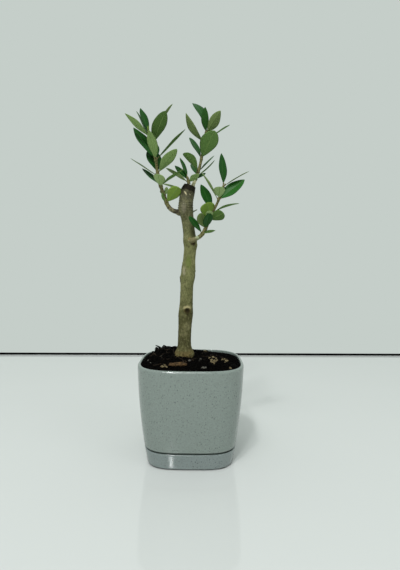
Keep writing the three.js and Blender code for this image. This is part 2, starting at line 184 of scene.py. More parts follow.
def speckled_polypropylene(name, colour, roughness, gloss, grain_depth):
    """Moulded polypropylene with ground husk in it: soft dark specks in a faintly clouded sage grey."""
    material, tree, shader, coords = new_material(name, {
        "Roughness": roughness, "IOR": 1.49, "Specular IOR Level": gloss})
    cloud = add(tree, "ShaderNodeTexNoise", {
        "Vector": coords, "Scale": 1 / (CLOUD_SIZE * MM), "Detail": 4.0, "Roughness": 0.7})
    paler = [min(1, channel * CLOUD_LIGHT) for channel in linear(colour)]
    tone = laid_over(tree, linear(colour), paler, cloud.outputs["Fac"], low=0.3, high=0.7)
    tall = add(tree, "ShaderNodeMapping", {
        "Vector": coords, "Scale": (1, 1, SPECK_SQUEEZE)}).outputs["Vector"]
    for spacing, most, widest in SPECKS:
        cells = add(tree, "ShaderNodeTexVoronoi", {"Vector": tall, "Scale": 1 / (spacing * MM)})
        chance = add(tree, "ShaderNodeSeparateColor", {"Color": cells.outputs["Color"]}).outputs["Red"]
        reach = add(tree, "ShaderNodeMapRange", {
            "Value": chance, "From Min": 0.2, "From Max": 1.0, "To Min": -0.05, "To Max": widest})
        inside = add(tree, "ShaderNodeMath", {
            0: reach.outputs["Result"], 1: cells.outputs["Distance"]}, operation="SUBTRACT").outputs["Value"]
        tone = laid_over(tree, tone, linear(SPECK_COLOUR), inside, low=-0.08, high=0.16, most=most)
    grain = add(tree, "ShaderNodeTexNoise", {
        "Vector": coords, "Scale": 1 / (GRAIN_SIZE * MM), "Detail": 2.0})
    finish_skin(tree, shader, tone, grain.outputs["Fac"], grain_depth)
    return material


tray_top_half = side_half(TRAY_HEIGHT - TRAY_EDGE)
tray_bottom = TRAY_FOOT_HEIGHT + TRAY_BOTTOM_EDGE
tray_foot_half = side_half(0) - TRAY_FOOT_INSET
tray_inner_edge = TRAY_WALL - TRAY_EDGE
tray_rings = [
    square_ring(tray_foot_half, 0),
    square_ring(tray_foot_half, TRAY_FOOT_HEIGHT),
    *rounded_edge(side_half(tray_bottom) - TRAY_BOTTOM_EDGE, tray_bottom, TRAY_BOTTOM_EDGE, -90, -10),
    *[square_ring(side_half(z), z) for z in TRAY_SIDE_HEIGHTS],
    *rounded_edge(tray_top_half - TRAY_EDGE, TRAY_HEIGHT - TRAY_EDGE, TRAY_EDGE, 0, 90),
    *rounded_edge(tray_top_half - TRAY_EDGE, TRAY_HEIGHT - tray_inner_edge, tray_inner_edge, 90, 180)[1:],
    square_ring(side_half(TRAY_FLOOR) - TRAY_WALL, TRAY_FLOOR),
]
glossy = speckled_polypropylene("glossy speckled polypropylene", **TRAY_FINISH)
make_piece("drip_tray_moulding", *loft(tray_rings), [glossy], "plastic", ["drip_tray"], sharp=40)

# Pot
# A rounded-square planter with swelling sides and a rolled lip, injection moulded in one piece with a
# satin finish from the tool. A foot under it stands inside the tray.
GAP = 0.3
POT_WALL = 2.4
POT_FLOOR = 2.4
FOOT_WALL = 2
SHADOW_LINE = 1.6
POT_EDGE = 0.45
SIDE_STARTS = 2
SIDE_ENDS = 3
SIDE_RINGS = 22
LIP_TOP = 81.6
LIP_OUTSIDE = 1.8
LIP_INSIDE = 0.6
POT_FINISH = dict(colour="#727d77", roughness=0.2, gloss=0.8, grain_depth=0.0015)
foot_bottom = TRAY_FLOOR + GAP
inner_floor = foot_bottom + POT_FLOOR
shoulder = TRAY_HEIGHT + SHADOW_LINE
side_heights = np.linspace(shoulder + SIDE_STARTS, POT_HEIGHT - SIDE_ENDS, SIDE_RINGS)
lip_half = side_half(LIP_TOP - LIP_OUTSIDE)


def foot_half(z):
    """Half the width of the foot, which is a slip fit in the tray."""
    return side_half(z) - TRAY_WALL - GAP


pot_rings = [
    square_ring(foot_half(foot_bottom) - POT_EDGE, foot_bottom),
    square_ring(foot_half(foot_bottom + POT_EDGE), foot_bottom + POT_EDGE),
    square_ring(foot_half(shoulder), shoulder),
    *rounded_edge(side_half(shoulder + POT_EDGE) - POT_EDGE, shoulder + POT_EDGE, POT_EDGE, -90, 0),
    *[square_ring(side_half(z), z) for z in side_heights],
    *rounded_edge(lip_half - LIP_OUTSIDE, LIP_TOP - LIP_OUTSIDE, LIP_OUTSIDE, 0, 90),
    *rounded_edge(lip_half - POT_WALL + LIP_INSIDE, LIP_TOP - LIP_INSIDE, LIP_INSIDE, 90, 180)[1:],
    *[square_ring(side_half(z) - POT_WALL, z) for z in side_heights[::-3]],
    square_ring(foot_half(shoulder) - FOOT_WALL, shoulder),
    square_ring(foot_half(inner_floor) - FOOT_WALL, inner_floor),
]
satin = speckled_polypropylene("satin speckled polypropylene", **POT_FINISH)
make_piece("pot_moulding", *loft(pot_rings), [satin], "plastic", ["pot"], sharp=40)

# Compost bed
# Moist dark peat compost that fills the pot, low along the walls, drawn up to the trunk and heaped at
# the back left, where it stands over the lip. At the back right it has sunk.
SOIL_AT_WALL = 79.6
SOIL_WALL_HEIGHTS = 20, 40, 60, SOIL_AT_WALL
SOIL_RISE, RISE_POWER = 3.2, 7
LOOSE_POWER = 12
# The mound at the trunk, the heap and the hollow: the place, height or depth, and reach of each
SWELLS = ((-5.8, 2.0), 1.2, 13), ((-22.0, 27.0), 3.6, 15), ((30.0, 34.0), 2.6, 15)
HEAP_HOLD = 1.5
LUMP_SIZE, LUMP_HEIGHT = 7, 1.3
CRUMB_SIZE, CRUMB_HEIGHT = 1.8, 0.7
SOIL_RINGS = 70
SOIL_SHARES = 0.985, 0.01
COMPOST_COLOURS = "#020202", "#0f0c08"
PEAT_GRAIN, PEAT_DEPTH = 2.5, 0.8


def wall_share(x, y):
    """How far out a place is: 0 in the middle of the pot and 1 at its wall."""
    half = side_half(SOIL_AT_WALL) - POT_WALL - GAP
    return ((abs(x) / half) ** RIM_SQUARENESS + (abs(y) / half) ** RIM_SQUARENESS) ** (1 / RIM_SQUARENESS)


def soil_height(x, y):
    """Height of the compost's crumbly top at a place."""
    share = min(1.0, wall_share(x, y))
    mound, heap, hollow = (
        most * math.exp(-(np.linalg.norm(np.subtract((x, y), place)) / reach) ** 2)
        for place, most, reach in SWELLS)
    lumps = LUMP_HEIGHT * noise.noise(Vector((x, y, 3.0)) / LUMP_SIZE)
    crumbs = CRUMB_HEIGHT * noise.turbulence(Vector((x, y, 9.0)) / CRUMB_SIZE, 3, True)
    loose = 1 - share ** LOOSE_POWER
    return (SOIL_AT_WALL - hollow + SOIL_RISE * (1 - share ** RISE_POWER)
            + (mound + heap * min(1, loose * HEAP_HOLD) + lumps + crumbs) * loose)


soil_walls = [square_ring(side_half(z) - POT_WALL - GAP, z) for z in SOIL_WALL_HEIGHTS]
soil_tops = []
for share in np.linspace(*SOIL_SHARES, SOIL_RINGS):
    ring = soil_walls[-1] * [share, share, 1]
    soil_tops.append([[x, y, soil_height(x, y)] for x, y, _ in ring])
compost, tree, shader, coords = new_material("moist peat compost", {
    "Roughness": 0.95, "IOR": 1.4, "Specular IOR Level": 0.05})
# Peat is almost black with browner fibres, and its grit breaks up any sheen
grit = add(tree, "ShaderNodeTexNoise", {
    "Vector": coords, "Scale": 1 / (PEAT_GRAIN * MM), "Detail": 6.0, "Roughness": 0.7}).outputs["Fac"]
peat = laid_over(tree, *map(linear, COMPOST_COLOURS), grit, low=0.45, high=0.75)
finish_skin(tree, shader, peat, grit, PEAT_DEPTH)
make_piece("compost_bed", *loft(soil_walls + soil_tops), [compost], "compost", ["soil"], sharp=60)

# Compost crumbs
# Loose crumbs of the same peat, from dust to the size of a peppercorn. They lie all over the bed, strewn
# on its top face.
CRUMBS_PER_SQUARE_MM = 0.32
CRUMB_RADII = 0.35, 1.15
CRUMB_SEED = 7
CRUMB_DENTS = 1.1
WHOLE_TURN = 6.28


def scattered(name, points, faces, material, density, radii, seed):
    """Points and faces, in millimetres, of rough crumbs strewn over a surface by Geometry Nodes."""
    holder = mesh_object(name, points, faces)
    tree = bpy.data.node_groups.new(name, "GeometryNodeTree")
    tree.interface.new_socket("Surface", in_out="INPUT", socket_type="NodeSocketGeometry")
    tree.interface.new_socket("Crumbs", in_out="OUTPUT", socket_type="NodeSocketGeometry")
    values = {}
    for label, kind, value in (
            ("Density", "Float", density / MM ** 2), ("Least radius", "Float", radii[0] * MM),
            ("Largest radius", "Float", radii[1] * MM), ("Seed", "Int", seed),
            ("Finish", "Material", material)):
        socket = tree.interface.new_socket(label, in_out="INPUT", socket_type=f"NodeSocket{kind}")
        values[socket.identifier] = value
    given = add(tree, "NodeGroupInput").outputs
    spots = add(tree, "GeometryNodeDistributePointsOnFaces", {
        "Mesh": given["Surface"], "Density": given["Density"], "Seed": given["Seed"]})
    smooth = add(tree, "GeometryNodeMeshIcoSphere", {"Radius": 1.0, "Subdivisions": 2})
    lumpy = add(tree, "ShaderNodeTexNoise", {"Scale": CRUMB_DENTS, "Detail": 1.0})
    dented = add(tree, "ShaderNodeVectorMath", {
        0: lumpy.outputs["Color"], 1: (0.5, 0.5, 0.5)}, operation="SUBTRACT")
    crumb = add(tree, "GeometryNodeSetPosition", {
        "Geometry": smooth.outputs["Mesh"], "Offset": dented.outputs["Vector"]})
    turn = add(tree, "FunctionNodeRandomValue", {
        1: (WHOLE_TURN, WHOLE_TURN, WHOLE_TURN), "Seed": given["Seed"]}, data_type="FLOAT_VECTOR")
    size = add(tree, "FunctionNodeRandomValue", {
        2: given["Least radius"], 3: given["Largest radius"], "Seed": given["Seed"]}, data_type="FLOAT")
    strewn = add(tree, "GeometryNodeInstanceOnPoints", {
        "Points": spots.outputs["Points"], "Instance": crumb.outputs["Geometry"],
        "Rotation": turn.outputs[0], "Scale": size.outputs[1]})
    whole = add(tree, "GeometryNodeRealizeInstances", {"Geometry": strewn.outputs["Instances"]})
    finished = add(tree, "GeometryNodeSetMaterial", {
        "Geometry": whole.outputs["Geometry"], "Material": given["Finish"]})
    add(tree, "NodeGroupOutput", {"Crumbs": finished.outputs["Geometry"]})
    scatter = holder.modifiers.new(name, "NODES")
    scatter.node_group = tree
    for identifier, value in values.items():
        scatter[identifier] = value
    mesh = bpy.data.meshes.new_from_object(holder.evaluated_get(bpy.context.evaluated_depsgraph_get()))
    points = np.empty(len(mesh.vertices) * 3)
    mesh.vertices.foreach_get("co", points)
    faces = [list(face.vertices) for face in mesh.polygons]
    bpy.data.objects.remove(holder)
    return points.reshape(-1, 3) / MM, faces


bed_points, bed_faces = loft(soil_tops)
open_faces = [face for face in bed_faces if OUTLINE_POINTS * SOIL_RINGS not in face]
crumbs = scattered("crumbs", bed_points, open_faces, compost, CRUMBS_PER_SQUARE_MM, CRUMB_RADII, CRUMB_SEED)
make_piece("compost_crumbs", *crumbs, [compost], "compost", sharp=50)

# Bark chip, grit and clods in the compost
# A flat chip of composted bark lies before the trunk, with tan clods to the right and left of it and
# grey grit between, pressed a little into the peat.
CHIP_FROM = np.array([-17.7, -32.5])
CHIP_TO = np.array([-2.6, -30.0])
CHIP_WIDTH = 4.6
CHIP_THICK = 2
CHIP_BOXY = 0.6
CHIP_LUMPS, CHIP_LUMPS_PER_MM, CHIP_SEED = 0.9, 0.4, 5
CHIP_TILT = 0.35
CHIP_LIFT = 0.9
CLOD_LUMPS, CLOD_LUMPS_PER_RADIUS = 0.6, 1.6
CLOD_FLATNESS = np.array([2, 2.2, 2.6])
CLOD_LIFT = 9
GRIT_SEED = 50
POLE = 0.02
MOTTLE_DEPTH = 0.5
# Each clod and each bit of grit: its place to the right and back, and its width
TAN_CLODS = [
    (16.4, -5.7, 2.6), (19.2, -1, 3), (21.6, -5.1, 2.6), (17.5, -11, 2.8), (20, -14.6, 3.2),
    (17.3, -18.4, 2.6), (22.3, -10.5, 2.2), (18.8, -24, 2.8), (27, -10, 2.6), (29.3, -8.3, 2.4),
    (30.3, -13.5, 2.6), (28.5, -17, 1.8), (12.5, 28, 3.6), (-22.4, -31.2, 3), (-21.1, -27.6, 2.4),
    (-19.6, -33, 2.6), (32.1, -31.2, 2.2)]
GREY_GRIT = [
    (8.1, -12.3, 2), (7.2, -16.5, 1.6), (10.2, -35.4, 2.6), (12, -35, 2.2), (-1.1, -16.6, 2.6),
    (-36, -12.5, 2.8), (-33.5, -20, 1.8), (-27, 4, 1.8), (2.5, 15, 1.8)]


def ball(rounds):
    """Points and faces of a round ball of about that many rounds from pole to pole."""
    around = angles_round(2 * rounds)
    rings = []
    for turn in np.linspace(POLE, math.pi - POLE, rounds):
        level = np.full(2 * rounds, -np.cos(turn))
        rings.append(np.stack([np.sin(turn) * np.cos(around), np.sin(turn) * np.sin(around), level], axis=1))
    return loft(rings)


def clod(x, y, width, seed):
    """A lumpy, slightly flattened clod that sits a third deep in the compost."""
    points, faces = ball(rounds=9)
    shift = Vector((seed, 0, 0))
    bumps = [1 + CLOD_LUMPS * noise.noise(Vector(p) * CLOD_LUMPS_PER_RADIUS + shift) for p in points]
    points = points * np.array(bumps)[:, None] * (width / CLOD_FLATNESS)
    return points + [x, y, soil_height(x, y) + width / CLOD_LIFT], faces


def joined(parts):
    """One list of points and one of faces from several."""
    points, faces, count = [], [], 0
    for part_points, part_faces in parts:
        points.append(part_points)
        faces += [[index + count for index in face] for face in part_faces]
        count += len(part_points)
    return np.concatenate(points), faces


def crumbly(name, size, *colours):
    """A dry crumbly lump, mottled between two colours at the size of its grains."""
    material, tree, shader, coords = new_material(name, {"Roughness": 0.9, "Specular IOR Level": 0.2})
    mottle = add(tree, "ShaderNodeTexNoise", {
        "Vector": coords, "Scale": 1 / (size * MM), "Detail": 5.0}).outputs["Fac"]
    tone = laid_over(tree, *map(linear, colours), mottle, low=0.35, high=0.65)
    finish_skin(tree, shader, tone, mottle, MOTTLE_DEPTH)
    return material


chip_points, chip_faces = ball(rounds=14)
chip_length = np.linalg.norm(CHIP_TO - CHIP_FROM)
chip_points = np.sign(chip_points) * np.abs(chip_points) ** CHIP_BOXY
chip_points = chip_points * [chip_length / 2, CHIP_WIDTH / 2, CHIP_THICK / 2]
noise.seed_set(CHIP_SEED)
chip_points += [CHIP_LUMPS * np.array(noise.noise_vector(Vector(p) * CHIP_LUMPS_PER_MM)) for p in chip_points]
chip_turn = math.atan2(*(CHIP_TO - CHIP_FROM)[::-1])
chip_place = (CHIP_FROM + CHIP_TO) / 2
chip_lie = Matrix.Rotation(chip_turn, 3, "Z") @ Matrix.Rotation(CHIP_TILT, 3, "X")
chip_points = chip_points @ np.array(chip_lie).T
chip_points += [*chip_place, soil_height(*chip_place) + CHIP_LIFT]
chip_bark = crumbly("composted bark", 1.6, "#241a0c", "#5a4429")
make_piece("bark_chip", chip_points, chip_faces, [chip_bark], "compost")
clods = joined([clod(*row, seed) for seed, row in enumerate(TAN_CLODS)])
make_piece("tan_clods", *clods, [crumbly("dry tan clay", 0.9, "#453a26", "#8f8362")], "compost")
gravel = joined([clod(*row, seed) for seed, row in enumerate(GREY_GRIT, GRIT_SEED)])
make_piece("grey_grit", *gravel, [crumbly("grey grit", 0.7, "#35342f", "#66655c")], "compost")

# Peat fibres
# Stiff dark fibres that stand out of the heap at the back left, and limp root threads that lie on the
# bed, all inside the pot's wall. Each is drawn as one thin tapering strand.
FIBRE_REACH = 0.95
SPIKE_COUNT = 30
SPIKE_PLACE, SPIKE_SPREAD = (-30, 29), (11, 7)
SPIKE_HEIGHTS = 1.2, 5.2
SPIKE_LEANS = 4.5, 2
SPIKE_BEND, SPIKE_DROOP = 3.5, 1.2
SPIKE_SUNK = 0.8
SPIKE_RADIUS, SPIKE_FOOT, SPIKE_TAPER = 1.3, 1.15, 0.85
SPIKE_RINGS = 7
THREAD_COUNT = 26
THREAD_SEED = 40
THREAD_PLACE, THREAD_SPREAD = (-4, -2), (34, 30)
THREAD_LENGTHS = 7, 17
THREAD_LIFT = 0.55
THREAD_CURL = 0.3
THREAD_RADIUS, THREAD_TIP = 0.28, 0.5
THREAD_RINGS = 12
THREAD_LEAST_RINGS = 4


def wobble(seed):
    """A number from -1 to 1 that depends only on the seed."""
    wave = math.sin(seed * 12.9898) * 43758.5453
    return 2 * (wave - math.floor(wave)) - 1


def unit(arrow):
    """The same direction, one long."""
    return arrow / np.linalg.norm(arrow)


def tube(places, radii, sides):
    """A closed limb round a row of places. radii has one row for each place, of one radius or one a side."""
    places = np.asarray(places, float)
    headings = np.gradient(places, axis=0)
    headings /= np.linalg.norm(headings, axis=1, keepdims=True)
    angle = angles_round(sides)[:, None]
    across = np.array([0.02, 1.0, 0.01])
    rings = []
    for place, heading, radius in zip(places, headings, radii):
        across = unit(across - heading * (across @ heading))
        spokes = np.cos(angle) * across + np.sin(angle) * np.cross(heading, across)
        rings.append(place + spokes * np.reshape(radius, (-1, 1)))
    return loft(rings)


def strewn_place(middle, spread, seed):
    """A place about a middle that depends only on the seed."""
    return middle[0] + spread[0] * wobble(seed), middle[1] + spread[1] * wobble(seed + 0.3)


def spike(seed):
    """A stiff fibre that leaves the heap at a slant, bends, and stays inside the pot's wall."""
    x, y = strewn_place(SPIKE_PLACE, SPIKE_SPREAD, seed)
    low, high = SPIKE_HEIGHTS
    height = low + (high - low) * abs(wobble(seed + 0.6)) ** 2
    lean = np.array([SPIKE_LEANS[0] * wobble(seed + 0.1), SPIKE_LEANS[1] * wobble(seed + 0.2), height])
    bend = np.array([SPIKE_BEND * wobble(seed + 0.4), 0, -SPIKE_DROOP])
    foot = np.array([x, y, soil_height(x, y) - SPIKE_SUNK])
    shares = np.linspace(0, 1, SPIKE_RINGS)
    places = [foot + lean * share + bend * share * share for share in shares]
    for place in places:
        place[:2] *= min(1.0, FIBRE_REACH / wall_share(*place[:2]))
    return tube(places, SPIKE_RADIUS * (SPIKE_FOOT - SPIKE_TAPER * shares), sides=6)


def thread(seed):
    """A limp thread that follows the bed, or none where it has no room."""
    x, y = strewn_place(THREAD_PLACE, THREAD_SPREAD, seed)
    low, high = THREAD_LENGTHS
    step = (low + (high - low) * abs(wobble(seed + 0.6))) / (THREAD_RINGS - 1)
    heading = math.pi * wobble(seed + 0.7)
    places = []
    for _ in range(THREAD_RINGS):
        places.append([x, y, soil_height(x, y) + THREAD_LIFT])
        x, y = x + step * math.cos(heading), y + step * math.sin(heading)
        heading += THREAD_CURL * wobble(seed + len(places))
    kept = [place for place in places if wall_share(*place[:2]) < FIBRE_REACH]
    if len(kept) < THREAD_LEAST_RINGS:
        return None
    return tube(kept, THREAD_RADIUS * np.linspace(1, THREAD_TIP, len(kept)), sides=6)


spikes = joined([spike(seed) for seed in range(1, SPIKE_COUNT + 1)])
make_piece("peat_fibres", *spikes, [crumbly("dark peat fibre", 1.2, "#020201", "#080604")], "compost")
threads = [thread(THREAD_SEED + count) for count in range(1, THREAD_COUNT + 1)]
threads = joined([strand for strand in threads if strand])
make_piece("root_threads", *threads, [crumbly("dead root thread", 2.0, "#1a140e", "#382d1f")], "compost")

# Trunk
# A rooted olive cutting with thin grey-green bark, which leans and steps sideways below each shoot. It
# flares at the soil, carries bud scars where old twigs were cut, and ends in a dark weathered saw cut.
TRUNK_DEPTH = 2
TRUNK_AXIS = [(84.3, -5.8), (100, -6.2), (126, -5.1), (148, -4.4), (171, -2.5), (184, -1.95), (204, -4.5),
              (215, -6.3), (234, -4.1)]
TRUNK_RADII = 5.95, 5.0
TRUNK_SIDES = 96
TRUNK_STEP = 0.5
SUNK = 2.5
CURVE_STEPS = 60
# Each swelling: its height, how far it stands out and its reach
SWELLINGS = [(86, 2.6, 4.4), (121.5, 0.65, 6.5), (153.3, 0.9, 4.2), (161.5, 0.65, 4.3), (185.5, 0.8, 4.5),
             (213, 1.25, 6.5), (228.5, 1.45, 10)]
# Each bud scar: its angle, height, half width, half height and lip
SCARS = [(-78, 125, 3.6, 2.8, 0.9), (178, 152, 2.4, 2.4, 0.4), (8, 157.5, 2.4, 2.4, 0.4),
         (185, 165, 2.4, 1.8, 0.3), (-40, 181, 3.4, 3.0, 0.5), (100, 140, 3.0, 2.2, 0.7),
         (60, 196, 2.6, 2.0, 0.6)]
SCAR_BROW = 0.25
SCAR_LIP_AT, SCAR_LIP_REACH = 0.85, 0.34
SCAR_HOLE, SCAR_HOLE_REACH = 0.8, 0.45
# Wrinkles, fine roughness, warts and broad unevenness: how many a radius, how tall, and a shift
BARK_NOISES = (5.5, 14, 0), (13, 4, 30), (7, 1.6, 70), (1.3, 22, 9)
WRINKLE_DEPTH, FINE_DEPTH, WART_HEIGHT, BROAD_DEPTH = 0.14, 0.14, 0.5, 0.16
WART_FROM = 0.35
ROOF_FROM, ROOF_PEAK, ROOF_AT = 222, 235, -7.2
ROOF_SLOPES = 1.2, 0.22
FOLD_HEIGHT, FOLD_REACH, FOLD_STEP, FOLD_DEPTH = 216, 6, 2.1, 0.26
RAGGED_FROM, RAGGED_REACH, RAGGED_FINE, RAGGED_WRINKLE = 226, 8, 0.45, 0.35
FLARE_HEIGHT, FLARE_REACH, FLARE_FINE, FLARE_WRINKLE = 85, 4, 0.9, 0.7
# Each ring of the sawn top: its share of the edge and how deep it has dried in
SAWN_RINGS = (0.94, 0.0), (0.8, -0.35), (0.5, -0.55), (0.2, -0.5)
SAW_MARKS, SAW_MARKS_PER_MM = 0.25, 1.5
BARK_LOW, BARK_MID, BARK_TOP = "#525131", "#6f7249", "#575643"
BARK_PALE, BARK_DARK = "#8a8760", "#332f1c"
FLARE_TAN = "#77683f"
CUT_DARK = "#120e09"
CUT_FROM, CUT_TO, CUT_SLANT, CUT_RAGGED = 229.4, 231, 0.24, 5
LICHEN_SIZE, STREAK_SIZE, PORE_SIZE = 7, 1.5, 2.4
STREAK_SQUEEZE = 0.6
STREAK_DEPTH = 0.35
ZONE_DRIFT = 16
# Each mark on the bark, some of them painted light and shade: its middle, half width, half height, tilt in
# degrees, colour and strength
BARK_MARKS_AND_PAINTED_LIGHT = [
    # The first mark is the bud scar's pale tan lip, laid only along its upper edge, with a painted highlight
    # where that edge catches the light
    ((-3.9, -4, 127), 4.3, 3, 0, "#a89f76", 0.7), ((-3.9, -4, 124.6), 4.1, 3.2, 0, "#3f3512", 0.9),
    ((-3.8, -4.1, 124.5), 2.9, 2.8, 0, "#1b1506", 0.85), ((-3.8, -4.2, 121.2), 1, 1.4, 0, "#2c2310", 0.6),
    # The first mark here is a painted shadow: the dark olive shade that the right shoot's lowest leaf casts
    # on the trunk below it
    ((0.9, -2.2, 194.5), 4.4, 9, 8, "#3d4022", 0.7), ((0.8, -3.3, 183), 2.8, 2.2, 0, "#2b1e0c", 0.9),
    ((-2.2, -4.1, 186), 2.2, 3, 0, "#8a7650", 0.6), ((-10.2, 0.5, 151.7), 2, 2.4, 0, "#3a3020", 0.7),
    ((2.5, 1.8, 156.2), 1.8, 3.4, 0, "#3a3020", 0.7), ((-3, -3.5, 167), 3.6, 7, 0, "#59692a", 0.55),
    # The second mark here is grey mottling with a painted highlight, pale on the lit left of the upper trunk
    ((-7.2, -2.8, 159.5), 2, 5.5, -10, "#a09a80", 0.6), ((-7.6, -4, 214), 2.6, 6, 0, "#857f6c", 0.45),
    ((-6.3, -4.3, 226.4), 0.75, 2.6, -33, "#d2c8a0", 0.85),
    ((-2.2, -3.7, 225), 0.6, 1.9, -45, "#b3a987", 0.7)]
MARK_RAGGED = 0.9


def curve_through(path):
    """Close points along a smooth curve through the path, with their distances from its start."""
    path = np.asarray(path, float)
    knots = np.concatenate([[2 * path[0] - path[1]], path, [2 * path[-1] - path[-2]]])
    t = np.linspace(0, 1, CURVE_STEPS, endpoint=False)[:, None]
    rows = []
    for before, a, b, after in zip(knots, knots[1:], knots[2:], knots[3:]):
        leaving, arriving = (b - before) / 2, (after - a) / 2
        rows.append(a + leaving * t + (3 * (b - a) - 2 * leaving - arriving) * t ** 2
                    + (2 * (a - b) + leaving + arriving) * t ** 3)
    points = np.concatenate([*rows, path[-1:]])
    steps = np.linalg.norm(np.diff(points, axis=0), axis=1)
    return points, np.concatenate([[0], np.cumsum(steps)])


def place_at(curve, distance):
    """The place on a curve at a distance along it."""
    points, distances = curve
    return np.array([np.interp(distance, distances, points[:, k]) for k in range(3)])


def trunk_radius(z):
    """Radius of the trunk without its bark's relief."""
    taper = np.interp(z, [TRUNK_AXIS[0][0], TRUNK_AXIS[-1][0]], TRUNK_RADII)
    return taper + sum(swell * math.exp(-((z - height) / reach) ** 2) for height, swell, reach in SWELLINGS)


def bark_relief(angle, z, radius):
    """How far the bark stands out: wrinkles, warts, folds, the lips of the scars, the flare and the cut."""
    spoke = Vector((math.cos(angle), math.sin(angle), 0))
    wrinkle, fine, wart, broad = (
        noise.noise(spoke * count + Vector((0, 0, z / tall + shift))) for count, tall, shift in BARK_NOISES)
    relief = BROAD_DEPTH * broad + WRINKLE_DEPTH * wrinkle + FINE_DEPTH * fine
    relief += WART_HEIGHT * max(0, wart - WART_FROM)
    fold = FOLD_DEPTH * math.exp(-((z - FOLD_HEIGHT) / FOLD_REACH) ** 2)
    relief += fold * math.sin(2 * math.pi * (z / FOLD_STEP + 0.5 * broad))
    for scar_angle, scar_z, wide, tall, lip in SCARS:
        turn = (angle - math.radians(scar_angle) + math.pi) % (2 * math.pi) - math.pi
        away = math.hypot(turn * radius / wide, (z - scar_z) / tall)
        brow = 1 + SCAR_BROW * math.tanh(2 * (z - scar_z) / tall)
        raised = brow * math.exp(-((away - SCAR_LIP_AT) / SCAR_LIP_REACH) ** 2)
        relief += lip * (raised - SCAR_HOLE * math.exp(-(away / SCAR_HOLE_REACH) ** 2))
    ragged = max(0.0, (z - RAGGED_FROM) / RAGGED_REACH)
    flare = math.exp(-((z - FLARE_HEIGHT) / FLARE_REACH) ** 2)
    return (relief + ragged * (RAGGED_FINE * fine + RAGGED_WRINKLE * wrinkle)
            + flare * (FLARE_FINE * fine + FLARE_WRINKLE * wrinkle))


def roof(x):
    """Height of the sawn top, which falls steeply to the left and gently to the right."""
    return ROOF_PEAK - (ROOF_SLOPES[0] * (ROOF_AT - x) if x < ROOF_AT else ROOF_SLOPES[1] * (x - ROOF_AT))


axis = curve_through([(x, TRUNK_DEPTH, z) for z, x in TRUNK_AXIS])
foot = place_at(axis, 0)
top_z = TRUNK_AXIS[-1][0]
trunk_rings = []
for distance in np.arange(-SUNK, axis[1][-1], TRUNK_STEP):
    middle = place_at(axis, distance) if distance >= 0 else foot + [0, 0, distance]
    radius = trunk_radius(middle[2])
    rise = max(0, middle[2] - ROOF_FROM) / (top_z - ROOF_FROM)
    ring = []
    for angle in angles_round(TRUNK_SIDES):
        out = radius + bark_relief(angle, middle[2], radius)
        point = middle + [out * math.cos(angle), out * math.sin(angle), 0]
        ring.append(point + [0, 0, rise * (roof(point[0]) - top_z)])
    trunk_rings.append(np.array(ring))
crown = trunk_rings[-1]
crown_middle = crown.mean(axis=0)
for share, drop in SAWN_RINGS:
    ring = crown_middle + (crown - crown_middle) * share
    lifts = [drop + SAW_MARKS * noise.noise(Vector(p) * SAW_MARKS_PER_MM) for p in ring]
    trunk_rings.append(ring + [[0, 0, lift] for lift in lifts])
bark, tree, shader, coords = new_material("young olive bark", {"Roughness": 0.82, "Specular IOR Level": 0.15})
# Thin bark with green showing through: fine speckles, pale lichen, dark pores, a black saw cut, and marks
# that include a painted leaf shadow and painted highlights
height = add(tree, "ShaderNodeSeparateXYZ", {"Vector": coords}).outputs["Z"]
cloud = add(tree, "ShaderNodeTexNoise", {
    "Vector": coords, "Scale": 1 / (LICHEN_SIZE * MM), "Detail": 4.0}).outputs["Fac"]
upright = add(tree, "ShaderNodeMapping", {
    "Vector": coords, "Scale": (1, 1, STREAK_SQUEEZE)}).outputs["Vector"]
streak = add(tree, "ShaderNodeTexNoise", {
    "Vector": upright, "Scale": 1 / (STREAK_SIZE * MM), "Detail": 5.0, "Roughness": 0.75}).outputs["Fac"]
pores = add(tree, "ShaderNodeTexVoronoi", {
    "Vector": coords, "Scale": 1 / (PORE_SIZE * MM)}).outputs["Distance"]
tone = linear(BARK_LOW)
for colour, low, high in ((BARK_MID, 118, 150), (BARK_TOP, 185, 222), (FLARE_TAN, 90, 84)):
    start, end = ((z + ZONE_DRIFT / 2) * MM for z in (low, high))
    tone = laid_over(tree, tone, linear(colour), height, start, end, ragged=(cloud, ZONE_DRIFT * MM))
for colour, pattern, low, high, most in (
        (BARK_PALE, cloud, 0.53, 0.68, 0.5), (BARK_DARK, cloud, 0.46, 0.34, 0.4),
        (BARK_DARK, streak, 0.51, 0.64, 0.75), (BARK_PALE, streak, 0.46, 0.34, 0.6),
        (BARK_DARK, pores, 0.24, 0.08, 0.6)):
    tone = laid_over(tree, tone, linear(colour), pattern, low, high, most)
slant = add(tree, "ShaderNodeVectorMath", {
    0: coords, 1: (CUT_SLANT, 0, 1)}, operation="DOT_PRODUCT").outputs["Value"]
tone = laid_over(tree, tone, linear(CUT_DARK), slant, CUT_FROM * MM, CUT_TO * MM, most=0.88,
                 ragged=(streak, CUT_RAGGED * MM))
for place, wide, tall, tilt, colour, most in BARK_MARKS_AND_PAINTED_LIGHT:
    local = add(tree, "ShaderNodeMapping", {
        "Vector": coords, "Location": [k * MM for k in place], "Rotation": (0, math.radians(tilt), 0),
        "Scale": (wide * MM, wide * MM, tall * MM)}, vector_type="TEXTURE").outputs["Vector"]
    away = add(tree, "ShaderNodeVectorMath", {0: local}, operation="LENGTH").outputs["Value"]
    tone = laid_over(tree, tone, linear(colour), away, low=1.45, high=0.95, most=most,
                     ragged=(streak, MARK_RAGGED))
finish_skin(tree, shader, tone, streak, STREAK_DEPTH, strength=0.8)
make_piece("trunk_bark", *loft(trunk_rings), [bark], "bark", ["trunk"], sharp=55)

